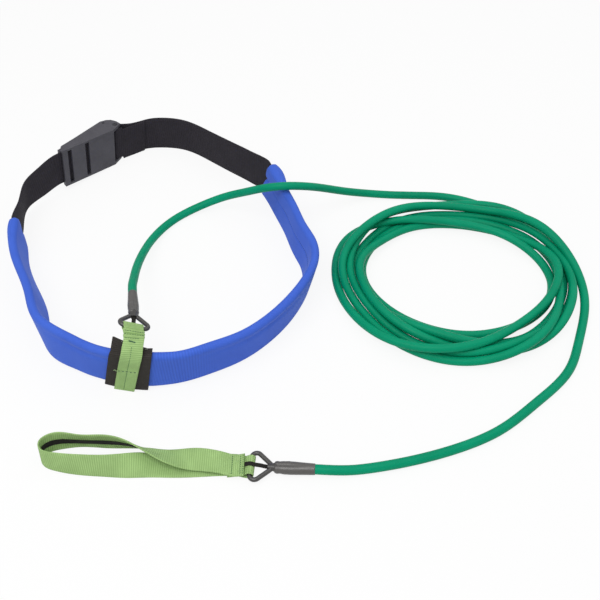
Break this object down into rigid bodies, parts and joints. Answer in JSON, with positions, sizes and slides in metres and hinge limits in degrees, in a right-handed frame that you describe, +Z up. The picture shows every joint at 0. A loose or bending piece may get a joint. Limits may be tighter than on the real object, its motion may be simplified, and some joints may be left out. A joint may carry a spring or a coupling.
{
  "type": "swim resistance belt",
  "caption": "Padded waist belt with a lever buckle, a sliding tether strap with a ring, a coiled elastic tube and a webbing hand loop.",
  "frame": {"origin": "centre of the box round the belt and the hand loop, without the free tube, at floor level", "axes": "+Z up, the belt standing on its lower edge; -Y towards the hand loop, on the side where the tether strap is; +X towards the coiled tube"},
  "size_m": [0.702, 0.5364, 0.0767],
  "materials": {
    "black_webbing": "woven polyester webbing",
    "blue_cloth": "ribbed woven cover",
    "grey_foam": "closed-cell foam",
    "black_plastic": "moulded nylon",
    "steel": "stainless steel",
    "slider_webbing": "woven polyester webbing",
    "green_webbing": "woven polyester webbing",
    "black_rubber": "smooth black plastic and heat-shrink sleeve",
    "green_tube": "smooth latex tube"
  },
  "bodies": {
    "belt": {"belt_webbing": "black_webbing", "pad_cover": "blue_cloth", "pad_foam": "grey_foam", "buckle_frame": "black_plastic", "lever_pin": "steel", "webbing_bar": "steel", "ring_2": "black_rubber", "sleeve_2": "black_rubber", "tube_end_2": "green_tube", "cord_lead": "green_tube", "cord_tail": "green_tube", "cord_coil": "green_tube"},
    "lever": {"buckle_lever": "black_plastic"},
    "slider": {"slider_loop": "slider_webbing", "slider_strap": "green_webbing", "safety_strand_1": "black_webbing"},
    "tether_ring": {"ring_1": "black_rubber", "sleeve_1": "black_rubber", "tube_end_1": "green_tube"},
    "handle": {"hand_loop": "green_webbing", "hand_loop_tape": "black_webbing", "safety_strand_2": "black_webbing"}
  },
  "joints": [
    {"name": "lever_open", "type": "hinge", "parent": "belt", "child": "lever", "pos_m": [-0.09994, 0.23912, 0.03243], "axis": [-0.1341, 0.0104, -0.9909], "range_deg": [0, 100]},
    {"name": "slider_travel", "type": "hinge", "parent": "belt", "child": "slider", "pos_m": [0.0068, 0.0167, 0], "axis": [0, 0, 1], "range_deg": [-10, 7], "deforming": ["cord_lead"]},
    {"name": "ring_1_swing", "type": "hinge", "parent": "slider", "child": "tether_ring", "pos_m": [-0.00155, -0.1238, 0.0666], "axis": [-0.9045, -0.0932, 0.4162], "range_deg": [-80, 60], "deforming": ["safety_strand_1"]},
    {"name": "handle_swing", "type": "hinge", "parent": "belt", "child": "handle", "pos_m": [0.1208, -0.2503, 0.0056], "axis": [0.0349, 0.9994, 0], "range_deg": [0, 80], "deforming": ["safety_strand_2"]}
  ]
}
